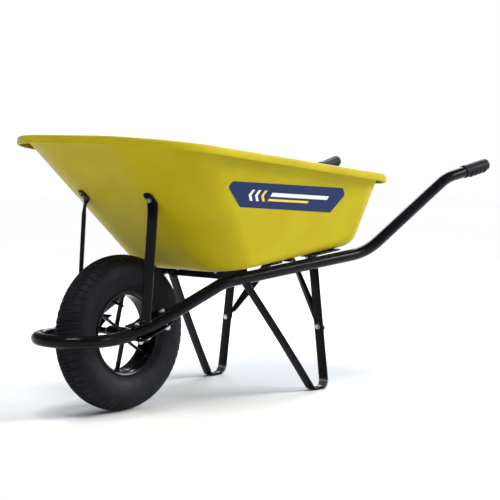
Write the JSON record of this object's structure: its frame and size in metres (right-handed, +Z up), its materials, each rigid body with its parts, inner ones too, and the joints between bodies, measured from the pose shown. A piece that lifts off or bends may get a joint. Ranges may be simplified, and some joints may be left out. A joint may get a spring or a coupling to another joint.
{
  "type": "wheelbarrow",
  "caption": "Builder's wheelbarrow: pressed yellow steel tub on a black one-piece tubular frame, bent flat-bar legs and a spoked wheel with a pneumatic tyre.",
  "frame": {"origin": "On the ground, under the middle of the bounding box.", "axes": "+X from the wheel towards the grips, +Y to the left of the person pushing, +Z up."},
  "size_m": [1.483, 0.6512, 0.7082],
  "materials": {
    "tub": "gloss yellow powder coat, slightly orange-peeled",
    "frame_paint": "semi-gloss black paint, worn under the feet",
    "wheel_paint": "gloss black paint",
    "tyre_rubber": "matt black rubber with block tread",
    "grip_rubber": "matt black moulded rubber",
    "zinc": "bright zinc plate",
    "bush_nylon": "natural nylon",
    "label_vinyl": "navy printed vinyl, satin",
    "valve_rubber": "matt black rubber over the metal stem"
  },
  "bodies": {
    "root": {"axle": "zinc", "axle_bracket_left": "frame_paint", "axle_bracket_right": "frame_paint", "axle_nut_left": "zinc", "axle_nut_right": "zinc", "axle_spacer_left": "frame_paint", "axle_spacer_right": "frame_paint", "brace_bolt": "zinc", "brace_nut": "zinc", "bracket_bolt_front_left": "zinc", "bracket_bolt_front_right": "zinc", "bracket_bolt_rear_left": "zinc", "bracket_bolt_rear_right": "zinc", "bracket_nut_front_left": "zinc", "bracket_nut_front_right": "zinc", "bracket_nut_rear_left": "zinc", "bracket_nut_rear_right": "zinc", "frame_tube": "frame_paint", "front_cross_member": "frame_paint", "grip_left": "grip_rubber", "grip_right": "grip_rubber", "label_left": "label_vinyl", "label_right": "label_vinyl", "leg_bolt_front_left": "zinc", "leg_bolt_front_right": "zinc", "leg_bolt_rear_left": "zinc", "leg_bolt_rear_right": "zinc", "leg_brace": "frame_paint", "leg_left": "frame_paint", "leg_nut_front_left": "zinc", "leg_nut_front_right": "zinc", "leg_nut_rear_left": "zinc", "leg_nut_rear_right": "zinc", "leg_right": "frame_paint", "middle_cross_strap": "frame_paint", "narrow_cross_strap": "frame_paint", "rear_cross_plate": "frame_paint", "strut_bolt_left": "zinc", "strut_bolt_right": "zinc", "strut_left": "frame_paint", "strut_nut_left": "zinc", "strut_nut_right": "zinc", "strut_right": "frame_paint", "tub": "tub", "tub_bolt_front_left": "zinc", "tub_bolt_front_right": "zinc", "tub_bolt_rear_left": "zinc", "tub_bolt_rear_right": "zinc", "tub_nut_front_left": "zinc", "tub_nut_front_right": "zinc", "tub_nut_rear_left": "zinc", "tub_nut_rear_right": "zinc"},
    "wheel": {"hub_bush_left": "bush_nylon", "hub_bush_right": "bush_nylon", "inner_tube": "tyre_rubber", "rim": "wheel_paint", "tyre": "tyre_rubber", "valve_cap": "tyre_rubber", "valve_stem": "valve_rubber", "wheel_centre": "wheel_paint"}
  },
  "joints": [
    {"name": "wheel_spin", "type": "hinge", "parent": "root", "child": "wheel", "pos_m": [-0.482, 0, 0.2], "axis": [0, 1, 0], "continuous": true}
  ]
}
